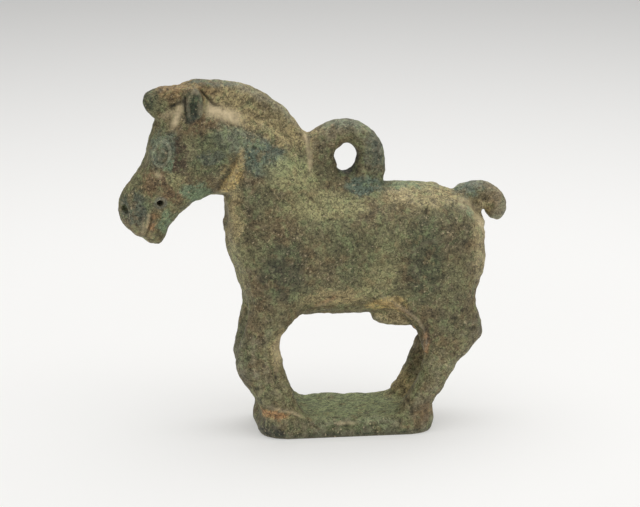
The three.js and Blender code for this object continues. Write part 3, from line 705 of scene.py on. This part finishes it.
def feed(tree, socket, value):
    if isinstance(value, bpy.types.NodeSocket):
        tree.links.new(value, socket)
    else:
        socket.default_value = value


def addNode(tree, kind, inputs, **settings):
    node = tree.nodes.new(kind)
    node.location = (220.0 * (len(tree.nodes) % 12), -260.0 * (len(tree.nodes) // 12))
    for name, value in settings.items():
        setattr(node, name, value)
    for name, value in inputs.items():
        feed(tree, node.inputs[name], value)
    return node


def mixColour(tree, factor, below, above):
    return addNode(tree, "ShaderNodeMix", {0: factor, 6: below, 7: above}, data_type="RGBA").outputs[2]


def easeRange(tree, value, low, high, toLow=0.0, toHigh=1.0):
    return addNode(tree, "ShaderNodeMapRange",
                   {0: value, 1: low, 2: high, 3: toLow, 4: toHigh},
                   interpolation_type="SMOOTHSTEP").outputs[0]


def calculate(tree, operation, a, b):
    return addNode(tree, "ShaderNodeMath", {0: a, 1: b}, operation=operation).outputs[0]


def speckle(tree, place, name):
    size, detail, shift, roughness, curl = patterns[name]
    moved = addNode(tree, "ShaderNodeVectorMath", {0: place, 1: (shift, -shift, 0.5 * shift)})
    return addNode(tree, "ShaderNodeTexNoise",
                   {"Vector": moved.outputs[0], "Scale": 1.0 / size, "Detail": detail,
                    "Roughness": roughness, "Distortion": curl})


def marked(tree, name):
    return addNode(tree, "ShaderNodeAttribute", {}, attribute_name=name).outputs["Fac"]


def addPatch(tree, place, below, patch):
    middle, half, turn, pigment, strength = patch
    inside = addNode(tree, "ShaderNodeMapping",
                     {"Vector": place, "Location": middle,
                      "Rotation": (0.0, math.radians(turn), 0.0), "Scale": half},
                     vector_type="TEXTURE")
    reach = addNode(tree, "ShaderNodeVectorMath", {0: inside.outputs[0]}, operation="LENGTH")
    weight = easeRange(tree, reach.outputs["Value"], *steps["patch rim"], 0.0, strength)
    return mixColour(tree, weight, below, painted(pigments[pigment]))


def makePatinaAndShade(title, plan, patches):
    material = bpy.data.materials.new(title)
    material.use_nodes = True
    tree = material.node_tree
    tree.nodes.clear()

    coordinates = addNode(tree, "ShaderNodeTexCoord", {})
    place = addNode(tree, "ShaderNodeVectorMath", {0: coordinates.outputs["Object"], "Scale": 1.0 / mm},
                    operation="SCALE").outputs[0]
    wander = speckle(tree, place, "wander")
    centred = addNode(tree, "ShaderNodeVectorMath", {0: wander.outputs["Color"], 1: (0.5, 0.5, 0.5)},
                      operation="SUBTRACT")
    ragged = addNode(tree, "ShaderNodeVectorMath",
                     {0: centred.outputs[0], 1: (plan["wander"],) * 3, 2: place},
                     operation="MULTIPLY_ADD").outputs[0]

    broad = speckle(tree, place, "broad").outputs[0]
    mottle = speckle(tree, place, "mottle").outputs[0]
    blotch = speckle(tree, place, "blotch").outputs[0]
    fine = speckle(tree, place, "fine").outputs[0]
    grains = speckle(tree, place, "grains").outputs[0]
    coarse = easeRange(tree, speckle(tree, place, "coarse").outputs[0], *steps["coarse"])
    bends = calculate(tree, "SUBTRACT", speckle(tree, place, "bends").outputs[0], 0.5)
    veins = easeRange(tree, calculate(tree, "ABSOLUTE", bends, 0.0), *steps["veins"])

    def tint(colour, weight, strength, pigment):
        share = calculate(tree, "MULTIPLY", weight, strength)
        return mixColour(tree, share, colour, painted(plan[pigment]))

    colour = mixColour(tree, easeRange(tree, broad, *steps["brown ground"]),
                       painted(plan["ground"]), painted(plan["brown"]))
    for patch in patches:
        colour = addPatch(tree, ragged, colour, patch)
    colour = tint(colour, easeRange(tree, mottle, *steps["green"]), strengths["green"], "green")
    colour = tint(colour, easeRange(tree, blotch, *steps["brown"]), strengths["brown"], "brown")
    # painted sheen: grey on the convex edges
    colour = tint(colour, marked(tree, "edges"), strengths["edges"], "edge")
    colour = tint(colour, marked(tree, "rust"), easeRange(tree, mottle, *steps["rust"]), "rust")
    # painted shade: dark green in the ears and along the plinth's foot
    colour = tint(colour, marked(tree, "shade green"), easeRange(tree, mottle, *steps["shade green"]), "shade green")
    colour = tint(colour, marked(tree, "rims"), strengths["rims"], "eyelid")
    shade = calculate(tree, "MULTIPLY", easeRange(tree, fine, *steps["fine shade"]),
                      easeRange(tree, mottle, *steps["mottle shade"]))
    calm = easeRange(tree, marked(tree, "pale"), *steps["calm"])     # fewer grains where it is pale
    coarse = calculate(tree, "MULTIPLY", coarse, calm)
    colour = addNode(tree, "ShaderNodeVectorMath", {0: colour, "Scale": shade},
                     operation="SCALE").outputs[0]
    # cream encrustation, with painted light on the ledges and the ear tips
    colour = tint(colour, marked(tree, "pale"), easeRange(tree, mottle, *steps["cream"]), "cream")
    colour = tint(colour, easeRange(tree, grains, *steps["pale grains"]), coarse, "cream")
    colour = tint(colour, easeRange(tree, grains, *steps["dark grains"]), coarse, "soil and shade")
    colour = tint(colour, calculate(tree, "MULTIPLY", veins, coarse), strengths["veins"], "soil and shade")
    colour = tint(colour, marked(tree, "crests"), strengths["crests"], "cream")
    # soil in cracks and pits; the dark lines add painted shade in the creases
    for name in ("cracks", "dark", "pits"):
        colour = tint(colour, marked(tree, name), strengths[name], "soil and shade")

    roughness = easeRange(tree, blotch, *steps["roughness"], plan["roughness"] - plan["roughnessDown"],
                          plan["roughness"] + plan["roughnessUp"])
    crust = addNode(tree, "ShaderNodeBump",
                    {"Height": mottle, "Strength": plan["bumpStrength"],
                     "Distance": plan["crustHeight"] * mm})
    height = calculate(tree, "SUBTRACT", calculate(tree, "ADD", fine, grains),
                       calculate(tree, "MULTIPLY", veins, plan["veinDepth"]))
    grain = addNode(tree, "ShaderNodeBump",
                    {"Height": height, "Strength": plan["bumpStrength"],
                     "Distance": plan["grainHeight"] * mm, "Normal": crust.outputs[0]})
    surface = addNode(tree, "ShaderNodeBsdfPrincipled",
                      {"Base Color": colour, "Roughness": roughness, "Metallic": 0.0,
                       "Specular IOR Level": plan["specular"], "Normal": grain.outputs[0]})
    addNode(tree, "ShaderNodeOutputMaterial", {"Surface": surface.outputs[0]})
    return material


horse.data.materials.append(makePatinaAndShade("bronze patina with painted light and shade", patina, patches))
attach(horse, "root")
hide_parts("horse_on_plinth")
print("patina made with", len(patches), "patches")


# Paper sweep under the horse, with painted light: it glows a little, and it is painted brightest where the
# horse stands and darker further off.

paper = {
    "radius": 3000.0,
    "white": (1.0, 0.995, 0.98),
    "shade": 0.60,
    "glow": 0.33,        # light that comes up through the paper
    "far": 0.45,         # painted darker far off, as a share of what it is under the horse
    "brightTo": 100.0,
    "dimFrom": 480.0,
}


def layPaper(plan):
    mesh = bpy.data.meshes.new("paper")
    disc = bmesh.new()
    bmesh.ops.create_circle(disc, cap_ends=True, segments=96, radius=plan["radius"] * mm)
    disc.to_mesh(mesh)
    disc.free()
    sheet = bpy.data.objects.new("paper", mesh)
    bpy.context.scene.collection.objects.link(sheet)
    material = bpy.data.materials.new("pale paper")
    material.use_nodes = True
    tree = material.node_tree
    tree.nodes.clear()
    coordinates = addNode(tree, "ShaderNodeTexCoord", {})
    away = addNode(tree, "ShaderNodeVectorMath", {0: coordinates.outputs["Object"]}, operation="LENGTH")
    # painted light falloff: the paper darkens away from the horse
    bright = easeRange(tree, away.outputs["Value"], plan["brightTo"] * mm, plan["dimFrom"] * mm,
                       1.0, plan["far"])
    white = addNode(tree, "ShaderNodeVectorMath", {0: plan["white"], "Scale": bright},
                    operation="SCALE").outputs[0]
    shade = addNode(tree, "ShaderNodeVectorMath", {0: white, "Scale": plan["shade"]},
                    operation="SCALE").outputs[0]
    surface = addNode(tree, "ShaderNodeBsdfPrincipled",
                      {"Base Color": shade, "Roughness": 0.9, "Specular IOR Level": 0.1,
                       "Emission Color": white, "Emission Strength": plan["glow"]})
    addNode(tree, "ShaderNodeOutputMaterial", {"Surface": surface.outputs[0]})
    mesh.materials.append(material)


layPaper(paper)


# Soft studio light: a wide panel overhead, a weaker one before the horse, and pale surroundings.

studioLights = {
    "overhead panel": {"at": (80.0, 40.0, 600.0), "size": 1200.0, "watts": 5.6},
    "front panel": {"at": (-300.0, -700.0, 260.0), "size": 400.0, "watts": 0.4},
    "aim": (0.0, 0.0, 30.0),
    "surroundings": 0.24,
}


def hangLight(name, plan):
    light = bpy.data.objects.new(name, bpy.data.lights.new(name, "AREA"))
    light.data.shape = "DISK"
    light.data.size = plan["size"] * mm
    light.data.energy = plan["watts"]
    light.location = Vector(plan["at"]) * mm
    towards = Vector(studioLights["aim"]) * mm - light.location
    light.rotation_euler = towards.to_track_quat("-Z", "Y").to_euler()
    bpy.context.scene.collection.objects.link(light)


for name in ("overhead panel", "front panel"):
    hangLight(name, studioLights[name])
surroundings = bpy.data.worlds.new("surroundings")
surroundings.use_nodes = True
background = surroundings.node_tree.nodes["Background"]
background.inputs["Color"].default_value = (1.0, 0.99, 0.97, 1.0)
background.inputs["Strength"].default_value = studioLights["surroundings"]
bpy.context.scene.world = surroundings
bpy.context.scene.view_settings.view_transform = "Standard"
print("studio lit")
